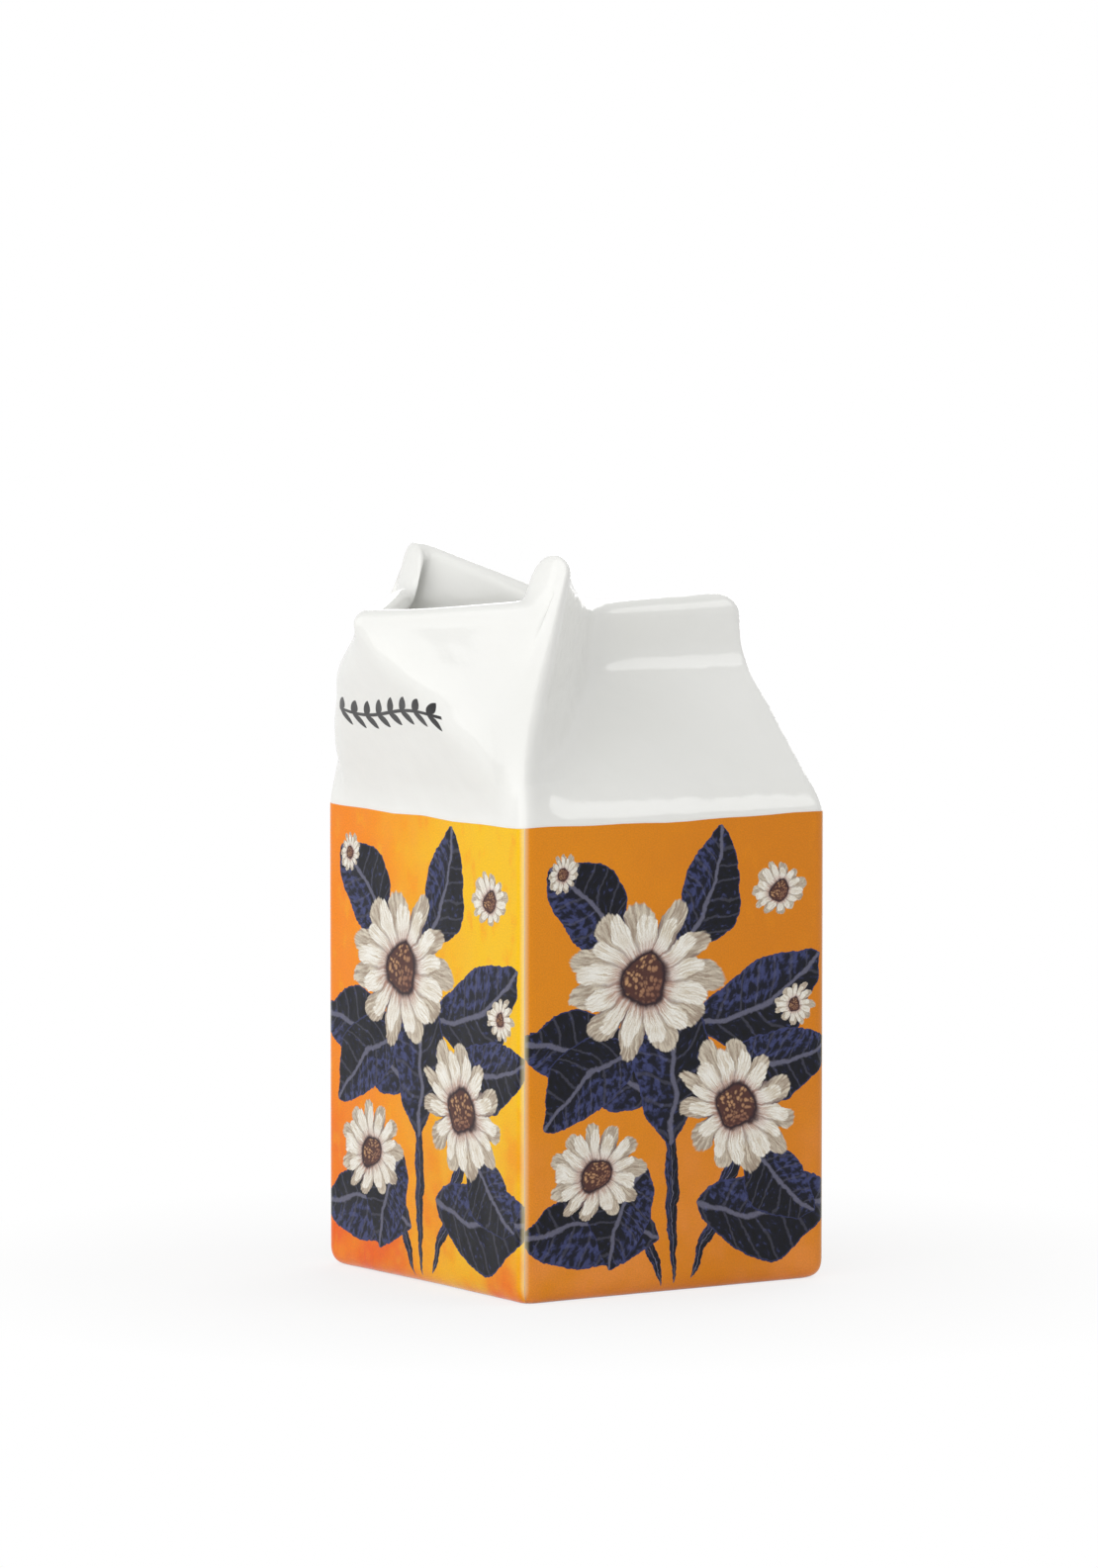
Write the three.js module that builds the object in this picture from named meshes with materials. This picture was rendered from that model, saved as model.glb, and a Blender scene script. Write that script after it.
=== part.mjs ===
// A glazed ceramic jug shaped like a gable-top carton whose front gable is pulled open into a spout.
// Millimetres, +Z up, origin at the middle of the flat base, spout towards -Y, mirror plane X = 0.
import * as THREE from "three";
import { mergeVertices } from "three/addons/utils/BufferGeometryUtils.js";

// Driving dimensions of the casting.
const bodyWidth = 71; // across the square walls, outside
const wallThickness = 4.4;
const lipThickness = 5.8; // round pouring lip
const floorThickness = 5;
const shoulderHeight = 95.5; // the walls fold into the roof here
const bulgeHeight = 107; // the front panel is fullest here
const foldHeight = 121.5; // the roof folds up into the ridge fin here
const ridgeHeight = 134.8; // top of the fin
const lipHeight = 134; // top of the pouring lip at its tip
const lipRise = 2.4; // climb of the lip from the tip to the ears
const earHeight = 145.6; // top of the two ears
const earSpread = 51.6; // from ear to ear, between the middles of the lip
const earSetback = 14.4; // ears behind the front wall
const earPost = 4.6; // length of an ear along the front lip
const earBrow = 2.8; // and of its top
const earFoot = 1.2; // the ear leans back from its foot by this much
const panelPost = 7; // the same two lines ahead of the ears' edges, down the front panel
const panelBrow = 4.5;
const browDrop = 1.2; // fall of the top to its front end
const earRound = 3.4; // height of the rounding on top of an ear
const tipReach = 13; // pouring tip ahead of the front wall, middle of the lip
const openingDepth = 36; // from the front wall back to the start of the fin
const crotchDip = 1; // the lips meet this far below the top of the fin
const gableTuck = 10; // fold of the closed rear gable
const finRearDrop = 3; // rounding of the fin's rear top corner
const finOverhang = 1.8; // fin behind the rear wall
const finHeel = 2.2; // sharp foot of the fin behind its end, before easing
const earLean = 2.8; // ears' edges behind the front wall where the panel is fullest
const bulgeHalfWidth = 27.7; // flat part of the front panel where it is fullest
const foldHalfWidth = 16.5; // and at the height of the fold

// Easing of the edges: how far the curve starts from the sharp edge.
const edgeEase = 3.5; // upright edges and ears
const baseEase = 4; // edge round the base
const shoulderEaseBelow = 2.5;
const shoulderEaseAbove = 8;
const panelEase = 9; // soft folds in the front panel
const foldEase = 4; // fillet under the fin
const valleyEase = 8; // valley between the roof and the opened gable
const tipEase = 4; // pouring tip
const postEase = 3; // foot of the ears
const floorEase = 7; // inside, round the floor
const easeFill = 0.96; // most of a run that the curves at its two ends may take

// Printed transfers on the four walls.
const printThickness = 0.3;
const printClearance = 0.3;
const printMargin = 2.7; // bare glaze between a transfer and the shoulder
const printSeam = 0.4; // between neighbours at an upright edge

// Sizes that follow from those above.
const half = bodyWidth / 2;
const finHalf = wallThickness; // two lips pressed together
const lipHalf = lipThickness / 2;
const roofSlope = (foldHeight - shoulderHeight) / (half - finHalf);
const roofStretch = Math.hypot(1, roofSlope);
const frontLean = tipReach / (lipHeight - shoulderHeight);
const frontStretch = Math.hypot(1, frontLean);
const bulgeShare = (bulgeHeight - shoulderHeight) / (foldHeight - shoulderHeight);
const innerRidge = shoulderHeight + roofSlope * half - wallThickness * roofStretch;
const printTop = shoulderHeight - printMargin;
const towardsFoot = new THREE.Vector3(half - earSpread / 2, -earSetback, 0).normalize();
const innerShoulder = shoulderHeight - wallThickness * (roofStretch - roofSlope);

// Eight lines run up each half of the casting:
// tip, knuckle, post, brow, ear, valley, rear edge and rear middle.
const lineEase = [tipEase, panelEase, postEase, postEase, edgeEase, valleyEase, edgeEase, panelEase];
const cornerSteps = [2, 3, 2, 2, 4, 3, 4, 2];
const runSteps = [1, 2, 1, 1, 3, 2, 2];
const postLines = [2, 3];
const earLine = 4;
const valleyLine = 5;

// Where the soft lines stand on the flat walls, as shares of their half width.
const knuckleShare = 0.74;
const postShare = 0.8;
const browShare = 0.86;
const valleyShare = 0.72;
const tipSpan = 8; // from the tip to the first soft line along the lip
const postLimit = 0.6; // furthest that the post and brow lines stand from the ear to the knuckle
const browLimit = 0.4;

const point = (x, y, z) => new THREE.Vector3(x, y, z);
const between = (a, b, share) => a.clone().lerp(b, share);
const mirrored = (p) => point(-p.x, p.y, p.z);

// Where two lines in plan meet, each given by a point and a direction.
function meet(a, alongA, b, alongB) {
  const cross = alongA.x * alongB.y - alongA.y * alongB.x;
  const share = ((b.x - a.x) * alongB.y - (b.y - a.y) * alongB.x) / cross;
  return a.clone().addScaledVector(alongA, share);
}

// A chain of points in plan moved inwards, each run by its own distance; its ends stay on the mirror plane.
function insetChain(chain, distances) {
  const plane = { start: point(0, 0, 0), along: point(0, 1, 0) };
  const runs = distances.map((distance, i) => {
    const along = chain[i + 1].clone().sub(chain[i]).setZ(0).normalize();
    const inwards = point(-along.y, along.x, 0);
    return { start: chain[i].clone().addScaledVector(inwards, distance), along };
  });
  const lines = [plane, ...runs, plane];
  return chain.map((key, i) => {
    const next = lines[i + 1];
    return meet(next.start, next.along, lines[i].start, lines[i].along).setZ(key.z);
  });
}

// The post and brow lines stand at fixed lengths in front of the ear.
function withPost(keys, postSpan, browSpan) {
  const [tip, knuckle, ear, ...rest] = keys;
  const reach = ear.distanceTo(knuckle);
  const post = between(ear, knuckle, Math.min(postLimit, postSpan / reach));
  const brow = between(ear, knuckle, Math.min(browLimit, browSpan / reach));
  return [tip, knuckle, post, brow, ear, ...rest];
}

// The same below the lip, where the lines stand further apart.
const addPost = (keys) => withPost(keys, panelPost, panelBrow);

// The eight lines where they cross the square walls.
function squareLevel(reach, z) {
  return [
    point(0, -reach, z),
    point(reach * knuckleShare, -reach, z),
    point(reach * postShare, -reach, z),
    point(reach * browShare, -reach, z),
    point(reach, -reach, z),
    point(reach, -reach * valleyShare, z),
    point(reach, reach, z),
    point(0, reach, z),
  ];
}

// Plan of the opening: tip, first soft line, ear and fin start, moved out by a distance from mid-lip.
function lipPlan(outwards, finSide) {
  const tip = point(0, -half - tipReach, 0);
  const ear = point(earSpread / 2, -half + earSetback, 0);
  const crotch = point(0, -half + openingDepth, 0);
  const moved = insetChain([tip, ear, crotch], [-outwards, -outwards]);
  const backLip = moved[2].clone().sub(moved[1]);
  const finStart = meet(moved[1], backLip, point(finSide, 0, 0), point(0, 1, 0));
  const knuckle = moved[0].clone().add(moved[1].clone().sub(moved[0]).setLength(tipSpan));
  return [moved[0], knuckle, moved[1], finStart];
}

// The lines along the lip and the fin, a drop below the top of the lip.
function lipLevel(outwards, finSide, drop, finLevel, rear) {
  const [tip, knuckle, ear, finStart] = lipPlan(outwards, finSide);
  const [, , post, brow] = withPost([tip, knuckle, ear], earPost, earBrow);
  tip.z = lipHeight - drop;
  knuckle.z = lipHeight - drop;
  post.addScaledVector(towardsFoot, earFoot).setZ(lipHeight + lipRise - drop);
  ear.z = drop > 0 ? earHeight - earRound : earHeight;
  brow.z = ear.z - browDrop;
  finStart.z = finLevel;
  return [tip, knuckle, post, brow, ear, finStart, ...rear];
}

// Outer levels, from the middle of the base up to the edge of the lip.
function outerLevels() {
  const shoulder = squareLevel(half, shoulderHeight);
  const finEdge = ridgeHeight - finHalf;
  const finEnd = half + finOverhang;
  const finRear = point(finHalf, finEnd, finEdge);
  const finMiddle = point(0, finEnd, foldHeight + lipHalf);
  const lip = lipLevel(lipHalf, finHalf, lipHalf, finEdge, [finRear, finMiddle]);
  const frontAt = (z, halfWidth) => {
    const tip = between(shoulder[0], lip[0], (z - shoulderHeight) / (lip[0].z - shoulderHeight));
    return [tip, point(halfWidth, tip.y, z)];
  };
  const bulgeEar = point(half - earLean / 2, -half + earLean, bulgeHeight);
  const earShare = (foldHeight - bulgeHeight) / (lip[earLine].z - bulgeHeight);
  const foldEar = between(bulgeEar, lip[earLine], earShare);
  const foldRear = [
    point(finHalf, lip[valleyLine].y, foldHeight),
    point(finHalf, finEnd + finHeel, foldHeight),
    point(0, half - gableTuck, foldHeight - wallThickness),
  ];
  const fold = addPost([...frontAt(foldHeight, foldHalfWidth), foldEar, ...foldRear]);
  const bulgeRear = foldRear.map((key, i) => between(shoulder[valleyLine + i], key, bulgeShare));
  const bulge = addPost([...frontAt(bulgeHeight, bulgeHalfWidth), bulgeEar, ...bulgeRear]);
  return [squareLevel(0, 0), squareLevel(half, 0), shoulder, bulge, fold, lip];
}

// Top of the lip and of the fin.
function crestLevel() {
  const finEnd = half + finOverhang;
  const rearEdge = point(0, finEnd - finRearDrop, ridgeHeight);
  const rearMiddle = point(0, finEnd, ridgeHeight - finRearDrop);
  return lipLevel(0, 0, 0, ridgeHeight - crotchDip, [rearEdge, rearMiddle]);
}

// Inner levels, from the edge of the lip down to the middle of the floor.
function innerLevels(outer) {
  const withoutPost = (level) => level.filter((_, line) => !postLines.includes(line));
  const [, , , bulge, fold] = outer;
  const front = wallThickness * frontStretch;
  const roof = (wallThickness * roofStretch) / roofSlope;
  const neck = insetChain(withoutPost(fold).slice(0, 4), [front, front, wallThickness]);
  neck[3].z = innerRidge;
  const ridgeEnd = half - gableTuck - wallThickness;
  const ridgeRear = [
    point(0, ridgeEnd - wallThickness, innerRidge),
    point(0, ridgeEnd, innerRidge - wallThickness),
  ];
  const belly = insetChain(withoutPost(bulge), [front, front, wallThickness, roof, front]);
  const crotch = lipPlan(-lipHalf, 0)[3].setZ(ridgeHeight - crotchDip - lipHalf);
  const behind = (distance) => point(0, crotch.y + distance, crotch.z);
  const lip = lipLevel(-lipHalf, 0, lipHalf, crotch.z, [behind(valleyEase), behind(2 * valleyEase)]);
  const reach = half - wallThickness;
  return [
    lip,
    addPost([...neck, ...ridgeRear]),
    addPost(belly),
    squareLevel(reach, innerShoulder),
    squareLevel(reach, floorThickness),
    squareLevel(0, floorThickness),
  ];
}

// Ease lengths before and after each corner of a chain, shortened where a run is too short for both.
function fitEases(keys, before, after) {
  const fitted = keys.map((_, i) => ({ before: before[i], after: after[i] }));
  for (let i = 0; i + 1 < keys.length; i += 1) {
    const wanted = fitted[i].after + fitted[i + 1].before;
    const scale = Math.min(1, (easeFill * keys[i].distanceTo(keys[i + 1])) / Math.max(wanted, 1e-9));
    fitted[i].after *= scale;
    fitted[i + 1].before *= scale;
  }
  return fitted;
}

// The curve that eases one corner.
function cornerCurve(previous, key, next, ease) {
  const start = key.clone().add(previous.clone().sub(key).setLength(ease.before));
  const end = key.clone().add(next.clone().sub(key).setLength(ease.after));
  return new THREE.QuadraticBezierCurve3(start, key, end);
}

// One row across the half casting: eight keys with eased corners, from mirror plane to mirror plane.
function sectionRow(keys) {
  const last = keys.length - 1;
  const eases = fitEases(keys, lineEase, lineEase);
  eases[0].before = eases[0].after;
  eases[last].after = eases[last].before;
  const padded = [mirrored(keys[1]), ...keys, mirrored(keys[last - 1])];
  const row = [];
  keys.forEach((key, i) => {
    const curve = cornerCurve(padded[i], key, padded[i + 2], eases[i]);
    const from = i === 0 ? 0.5 : 0;
    const to = i === last ? 0.5 : 1;
    if (i > 0) {
      const start = row[row.length - 1];
      const end = curve.getPoint(from);
      const steps = runSteps[i - 1];
      for (let step = 1; step < steps; step += 1) row.push(between(start, end, step / steps));
    }
    for (let step = 0; step <= cornerSteps[i]; step += 1) {
      row.push(curve.getPoint(from + ((to - from) * step) / cornerSteps[i]));
    }
  });
  return row;
}

// One line up the casting through its level points, with eased corners; plain ends.
function railPoints(keys, before, after, arcs, runs) {
  const last = keys.length - 1;
  const eases = fitEases(keys, before, after);
  const rail = [keys[0]];
  for (let i = 1; i <= last; i += 1) {
    const curve = i < last ? cornerCurve(keys[i - 1], keys[i], keys[i + 1], eases[i]) : null;
    const start = rail[rail.length - 1];
    const end = curve ? curve.getPoint(0) : keys[last];
    for (let step = 1; step <= runs[i - 1]; step += 1) rail.push(between(start, end, step / runs[i - 1]));
    if (curve && arcs[i] > 0) rail.push(...curve.getPoints(arcs[i]).slice(1));
  }
  return rail;
}

// Rows of a surface through a list of levels.
function levelRows(levels, before, after, arcs, runs) {
  const lineKeys = levels[0].map((_, line) => levels.map((level) => level[line]));
  const rails = lineKeys.map((keys) => railPoints(keys, before, after, arcs, runs));
  return rails[0].map((_, row) => sectionRow(rails.map((rail) => rail[row])));
}

// Rows of a quarter round between two rows, standing upright at one of them and level at the crest.
function quarterRows(from, to, crest, steps) {
  const roundness = 0.5523;
  const curves = from.map((start, i) => {
    const end = to[i];
    const outer = crest === "end" ? start : end;
    const top = crest === "end" ? end : start;
    const corner = point(outer.x, outer.y, top.z);
    const leave = between(start, corner, roundness);
    const arrive = between(end, corner, roundness);
    return new THREE.CubicBezierCurve3(start, leave, arrive, end);
  });
  const rows = [];
  for (let step = 1; step <= steps; step += 1) {
    rows.push(curves.map((curve) => curve.getPoint(step / steps)));
  }
  return rows;
}

// Triangles between neighbouring rows. None lies flat in the mirror plane, where its mirror image would.
function rowTriangles(rows) {
  const triangles = [];
  const inPlane = (p) => Math.abs(p.x) < 1e-6;
  for (let r = 0; r + 1 < rows.length; r += 1) {
    for (let c = 0; c + 1 < rows[r].length; c += 1) {
      const [a, b, d, e] = [rows[r][c], rows[r][c + 1], rows[r + 1][c], rows[r + 1][c + 1]];
      if ([a, b, e].every(inPlane)) triangles.push([a, b, d], [b, e, d]);
      else triangles.push([a, b, e], [a, e, d]);
    }
  }
  return triangles;
}

// One closed body from the triangles of its right half.
function mirroredGeometry(rightHalf) {
  const leftHalf = rightHalf.map(([a, b, c]) => [mirrored(a), mirrored(c), mirrored(b)]);
  const corners = [...rightHalf, ...leftHalf].flat();
  const merged = mergeVertices(new THREE.BufferGeometry().setFromPoints(corners), 1e-3);
  const index = Array.from(merged.index.array);
  const kept = [];
  for (let i = 0; i < index.length; i += 3) {
    const [a, b, c] = index.slice(i, i + 3);
    if (a !== b && b !== c && c !== a) kept.push(a, b, c);
  }
  merged.setIndex(kept);
  merged.computeVertexNormals();
  return merged;
}

// The casting: outside up to the lip, over the lip, and down the inside to the floor.
function bodyGeometry() {
  const levels = outerLevels();
  const outer = levelRows(
    levels,
    [0, baseEase, shoulderEaseBelow, panelEase, foldEase, 0],
    [0, baseEase, shoulderEaseAbove, panelEase, foldEase, 0],
    [0, 4, 4, 3, 3, 0],
    [1, 1, 1, 2, 2],
  );
  const crest = sectionRow(crestLevel());
  const overLip = quarterRows(outer[outer.length - 1], crest, "end", 3);
  crest.forEach((key, i) => key.copy(overLip[overLip.length - 1][i]));

  const insideLevels = innerLevels(levels);
  const steps = (list, upTo) => list.slice(0, upTo).reduce((sum, count) => sum + count, 0);
  const openColumns = steps(cornerSteps, valleyLine + 1) + steps(runSteps, valleyLine) + 1;
  const openOnly = (row) => row.slice(0, openColumns);
  const innerLip = sectionRow(insideLevels[0]);
  const intoLip = quarterRows(openOnly(crest), openOnly(innerLip), "start", 3);
  const neck = levelRows(insideLevels.slice(0, 2), [0, 0], [0, 0], [0, 0], [3]).map(openOnly);
  const inside = levelRows(
    insideLevels.slice(1),
    [0, panelEase, panelEase, floorEase, 0],
    [0, panelEase, panelEase, floorEase, 0],
    [0, 2, 3, 3, 0],
    [1, 1, 1, 1],
  );
  return mirroredGeometry([
    ...rowTriangles(outer),
    ...rowTriangles([outer[outer.length - 1], ...overLip]),
    ...rowTriangles([openOnly(crest), ...intoLip]),
    ...rowTriangles(neck),
    ...rowTriangles(inside),
  ]);
}

// Plan of one transfer: flat on the wall, and turned round both upright edges to just short of their middles.
function printShape() {
  const inner = half + printClearance;
  const outer = inner + printThickness;
  const innerEase = edgeEase + printClearance;
  const outerEase = innerEase + printThickness;
  const back = printSeam / 2 / Math.SQRT2;
  const endOf = (reach, ease) => new THREE.Vector2(reach - ease / 4 - back, -reach + ease / 4 - back);
  const outerEnd = endOf(outer, outerEase);
  const innerEnd = endOf(inner, innerEase);
  const shape = new THREE.Shape();
  shape.moveTo(-outerEnd.x, outerEnd.y);
  shape.quadraticCurveTo(-outer + outerEase / 2, -outer, -outer + outerEase, -outer);
  shape.lineTo(outer - outerEase, -outer);
  shape.quadraticCurveTo(outer - outerEase / 2, -outer, outerEnd.x, outerEnd.y);
  shape.lineTo(innerEnd.x, innerEnd.y);
  shape.quadraticCurveTo(inner - innerEase / 2, -inner, inner - innerEase, -inner);
  shape.lineTo(-inner + innerEase, -inner);
  shape.quadraticCurveTo(-inner + innerEase / 2, -inner, -innerEnd.x, innerEnd.y);
  shape.closePath();
  return shape;
}

function printGeometry(quarterTurns) {
  const geometry = new THREE.ExtrudeGeometry(printShape(), {
    depth: printTop - baseEase,
    bevelEnabled: false,
    curveSegments: 4,
  });
  geometry.translate(0, 0, baseEase);
  geometry.rotateZ((quarterTurns * Math.PI) / 2);
  return geometry;
}

function addMesh(group, name, geometry, material) {
  const mesh = new THREE.Mesh(geometry, material);
  mesh.name = name;
  group.add(mesh);
}

const glaze = new THREE.MeshStandardMaterial({
  name: "white_glaze",
  color: 0xf3f1ec,
  roughness: 0.15,
  metalness: 0,
});
const print = new THREE.MeshStandardMaterial({
  name: "printed_glaze",
  color: 0xd9962a,
  roughness: 0.2,
  metalness: 0,
});

const jug = new THREE.Group();
jug.name = "carton_jug";
addMesh(jug, "ceramic_body", bodyGeometry(), glaze);
["front", "right", "back", "left"].forEach((side, turns) => {
  addMesh(jug, `print_${side}`, printGeometry(turns), print);
});

export default jug;
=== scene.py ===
"""A glazed ceramic jug in the form of a gable-top carton: its finish, its light and its camera.

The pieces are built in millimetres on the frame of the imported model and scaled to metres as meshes.
+Z is up, the spout points to -Y and the mirror plane is X = 0.
"""
import math

import bpy
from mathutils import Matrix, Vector, noise


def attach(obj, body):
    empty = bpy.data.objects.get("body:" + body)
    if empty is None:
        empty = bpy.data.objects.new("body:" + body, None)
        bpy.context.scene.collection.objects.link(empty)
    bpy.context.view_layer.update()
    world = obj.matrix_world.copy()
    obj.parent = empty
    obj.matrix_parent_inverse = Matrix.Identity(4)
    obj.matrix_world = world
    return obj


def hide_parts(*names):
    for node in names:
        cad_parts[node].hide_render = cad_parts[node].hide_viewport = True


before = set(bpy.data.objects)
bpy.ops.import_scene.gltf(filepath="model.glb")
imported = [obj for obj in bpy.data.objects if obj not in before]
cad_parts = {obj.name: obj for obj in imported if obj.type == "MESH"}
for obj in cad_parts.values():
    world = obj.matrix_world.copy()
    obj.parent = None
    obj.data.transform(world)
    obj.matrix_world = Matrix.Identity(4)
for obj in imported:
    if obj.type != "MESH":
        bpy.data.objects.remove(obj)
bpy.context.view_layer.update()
MM = 0.001
TINY = 1e-6

# Sizes of the casting in millimetres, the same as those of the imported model.
BODY_WIDTH = 71.0
WALL = 4.4
LIP = 5.8
FLOOR = 5.0
SHOULDER_Z = 95.5
BULGE_Z = 107.0
FOLD_Z = 121.5
RIDGE_Z = 134.8
LIP_Z = 134.0
LIP_RISE = 2.4
EAR_Z = 145.6
EAR_SPREAD = 51.6
EAR_SETBACK = 14.4
EAR_POST = 4.6
EAR_BROW = 2.8
EAR_FOOT = 1.2
PANEL_POST = 7.0
PANEL_BROW = 4.5
BROW_DROP = 1.2
EAR_ROUND = 3.4
TIP_REACH = 13.0
OPENING_DEPTH = 36.0
CROTCH_DIP = 1.0
GABLE_TUCK = 10.0
FIN_REAR_DROP = 3.0
FIN_OVERHANG = 1.8
FIN_HEEL = 2.2
EAR_LEAN = 2.8
BULGE_HALF_WIDTH = 27.7
FOLD_HALF_WIDTH = 16.5

# How far the rounding of an edge starts from where the sharp edge would be.
EDGE_EASE = 3.5
BASE_EASE = 4.0
SHOULDER_EASE_BELOW = 2.5
SHOULDER_EASE_ABOVE = 8.0
PANEL_EASE = 9.0
FOLD_EASE = 4.0
VALLEY_EASE = 8.0
TIP_EASE = 4.0
POST_EASE = 3.0
FLOOR_EASE = 7.0
EASE_FILL = 0.96

# The transfers: the glazed wall stands out to their backs, and they are a thin film on it.
WALL_SWELL = 0.5
FILM = 0.08
FILM_GAP = 0.02
FILM_TOP_Z = 92.8
FILM_SEAM = 0.12
FILM_ARC = 12
FILM_LOWEST_ROW = 3
FILM_HEIGHTS = 12
FILM_SHARP = math.radians(40)
# Waves of their top edge: height, turn for each millimetre along the wall, and start.
FILM_WAVES = ((0.2, 0.11, 0.8), (0.1, 0.31, 0.0))

# The painted sprig on the front panel.
SPRIG_Z = 113.5
SPRIG_HALF = 19.0
SPRIG_WAVE = 1.0
SPRIG_TURN = 0.16
SPRIG_STEM = 0.34
SPRIG_SOFT = 0.08
SPRIG_FADE = 0.4
SPRIG_STEP = 4.75
SPRIG_LEAF = (4.2, 0.95)
SPRIG_LEAF_ROOT = (0.5, 0.2)
SPRIG_LEAF_ANGLE = math.radians(36)

# Depth of the pools in the glaze.
POOL_DEPTH = 0.35

# Unevenness of the casting above its printed walls: depth, how far it lies below the form on average,
# length, and heights where it starts and is full.
WAVER = 0.35
WAVER_SINK = 0.14
WAVER_LENGTH = 26.0
WAVER_FROM_Z = 93.5
WAVER_FULL_Z = 99.0

# Sizes that follow from those above.
HALF = BODY_WIDTH / 2
WALL_REACH = HALF + WALL_SWELL
FIN_HALF = WALL
LIP_HALF = LIP / 2
ROOF_SLOPE = (FOLD_Z - SHOULDER_Z) / (HALF - FIN_HALF)
ROOF_STRETCH = math.hypot(1, ROOF_SLOPE)
FRONT_STRETCH = math.hypot(1, TIP_REACH / (LIP_Z - SHOULDER_Z))
BULGE_SHARE = (BULGE_Z - SHOULDER_Z) / (FOLD_Z - SHOULDER_Z)
INNER_RIDGE_Z = SHOULDER_Z + ROOF_SLOPE * HALF - WALL * ROOF_STRETCH
INNER_SHOULDER_Z = SHOULDER_Z - WALL * (ROOF_STRETCH - ROOF_SLOPE)
TOWARDS_FOOT = Vector((HALF - EAR_SPREAD / 2, -EAR_SETBACK, 0)).normalized()

# Eight lines run up each half: tip, knuckle, post, brow, ear, valley, rear edge and rear middle.
LINE_EASE = (TIP_EASE, PANEL_EASE, POST_EASE, POST_EASE, EDGE_EASE, VALLEY_EASE, EDGE_EASE, PANEL_EASE)
POST_LINES = (2, 3)
EAR_LINE = 4
VALLEY_LINE = 5
REAR_LINE = 6

# Where the lines cross the square walls, as shares of half their width.
KNUCKLE_SHARE = 0.74
POST_SHARE = 0.8
BROW_SHARE = 0.86
VALLEY_SHARE = 0.72

# The knuckle's distance from the tip, and the most of the run before the ear that post and brow take.
TIP_SPAN = 8.0
POST_LIMIT = 0.6
BROW_LIMIT = 0.4

# Steps across a row: round each line and between lines.
CORNER_STEPS = (4, 6, 4, 4, 8, 8, 8, 6)
RUN_STEPS = (2, 8, 2, 2, 8, 10, 10)

# Steps up a line: round each level and between levels, then those of a quarter round of the lip.
OUTER_ARCS = (0, 8, 10, 8, 8, 0)
OUTER_RUNS = (4, 10, 3, 6, 6)
INNER_ARCS = (0, 5, 6, 6, 0)
INNER_RUNS = (3, 3, 8, 4)
NECK_RUNS = (8,)
LIP_STEPS = 7

# The camera of the photograph: angles in degrees, lengths in metres, lens and sensor in millimetres.
CAMERA_AZIMUTH = 56.62
CAMERA_ELEVATION = 4.869
CAMERA_DISTANCE = 1.7146
CAMERA_TARGET = Vector((-0.00966, 0.0, 0.09675))
CAMERA_LENS = 197.1
CAMERA_SENSOR = 36.0

# Softboxes round the middle of the jug: direction, side in metres and power in watts.
LAMPS = {
    "key": ((0.3, -0.9, 0.3), 2.0, 15.0),
    "top": ((0.45, 0.55, 0.7), 0.45, 1.3),
    "rear": ((-0.6, 0.7, 0.35), 0.8, 5.0),
}
LAMP_DISTANCE = 1.0
LAMP_TARGET = Vector((0, 0, 0.07))
AMBIENT = 0.42

# The floor, in metres: near the jug some of its own paint shows, further off it is plain white.
FLOOR_REACH = 4.0
FLOOR_PAINT = (0.85, 0.85, 0.85, 1)
FLOOR_WHITE_NEAR = 0.75
FLOOR_NEAR = 0.04
FLOOR_FAR = 0.14
WHITE = (1, 1, 1, 1)


def point(x, y, z):
    return Vector((x, y, z))


def mirrored(p):
    return point(-p.x, p.y, p.z)


def meet(a, along_a, b, along_b):
    """Where two lines in plan meet, each given by a point and a direction."""
    cross = along_a.x * along_b.y - along_a.y * along_b.x
    share = ((b.x - a.x) * along_b.y - (b.y - a.y) * along_b.x) / cross
    return a + along_a * share


def inset_chain(chain, distances):
    """A chain of points in plan, each run moved inwards by its distance; its ends stay at X = 0."""
    plane = (point(0, 0, 0), point(0, 1, 0))
    runs = []
    for start, end, distance in zip(chain, chain[1:], distances):
        along = point(end.x - start.x, end.y - start.y, 0).normalized()
        runs.append((start + point(-along.y, along.x, 0) * distance, along))
    lines = [plane, *runs, plane]
    moved = []
    for key, line, following in zip(chain, lines, lines[1:]):
        corner = meet(*following, *line)
        moved.append(point(corner.x, corner.y, key.z))
    return moved


def with_post(keys, post_span, brow_span):
    """The post and brow lines stand at fixed lengths in front of the ear."""
    tip, knuckle, ear, *rest = keys
    reach = (ear - knuckle).length
    post = ear.lerp(knuckle, min(POST_LIMIT, post_span / reach))
    brow = ear.lerp(knuckle, min(BROW_LIMIT, brow_span / reach))
    return [tip, knuckle, post, brow, ear, *rest]


def add_post(keys):
    return with_post(keys, PANEL_POST, PANEL_BROW)


def without_post(keys):
    return [key for line, key in enumerate(keys) if line not in POST_LINES]


def square_level(reach, z):
    """The eight lines where they cross the square walls."""
    return [
        point(0, -reach, z),
        point(reach * KNUCKLE_SHARE, -reach, z),
        point(reach * POST_SHARE, -reach, z),
        point(reach * BROW_SHARE, -reach, z),
        point(reach, -reach, z),
        point(reach, -reach * VALLEY_SHARE, z),
        point(reach, reach, z),
        point(0, reach, z),
    ]


def lip_plan(outwards, fin_side):
    """Plan of the opening: tip, knuckle, ear and fin start, moved out from the middle of the lip."""
    tip = point(0, -HALF - TIP_REACH, 0)
    ear = point(EAR_SPREAD / 2, -HALF + EAR_SETBACK, 0)
    crotch = point(0, -HALF + OPENING_DEPTH, 0)
    tip, ear, crotch = inset_chain([tip, ear, crotch], [-outwards, -outwards])
    fin_start = meet(ear, crotch - ear, point(fin_side, 0, 0), point(0, 1, 0))
    knuckle = tip + (ear - tip).normalized() * TIP_SPAN
    return [tip, knuckle, ear, fin_start]


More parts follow.
